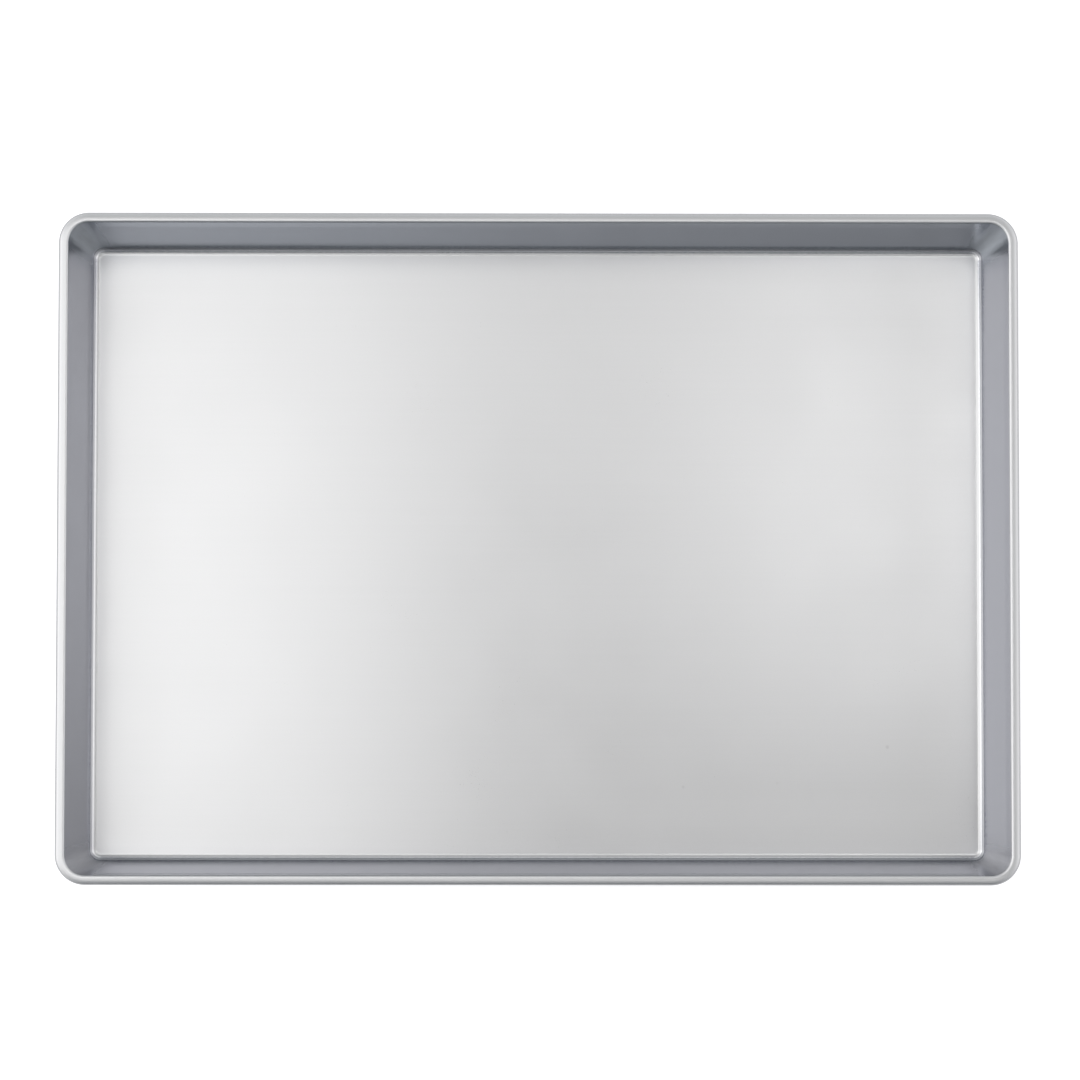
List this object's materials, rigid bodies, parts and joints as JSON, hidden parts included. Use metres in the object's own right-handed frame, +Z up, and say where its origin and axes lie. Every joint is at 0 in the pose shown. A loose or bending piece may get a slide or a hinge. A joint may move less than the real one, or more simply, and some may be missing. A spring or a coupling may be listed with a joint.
{
  "type": "sheet cake pan",
  "caption": "Shallow rectangular baking pan drawn from one aluminium sheet, with a flat floor, slightly leaning walls, tight rounded corners and a rim rolled round a stiffening wire.",
  "frame": {"origin": "middle of the underside of the base, on the surface that the pan stands on", "axes": "+X along the long sides, +Y along the short sides, +Z up out of the pan"},
  "size_m": [0.3374, 0.2356, 0.0508],
  "materials": {
    "satin_aluminium": "satin, clear anodised, fine even grain",
    "drawn_steel": "plain drawn wire"
  },
  "bodies": {
    "root": {"pan_body": "satin_aluminium", "rim_wire": "drawn_steel"}
  },
  "joints": []
}
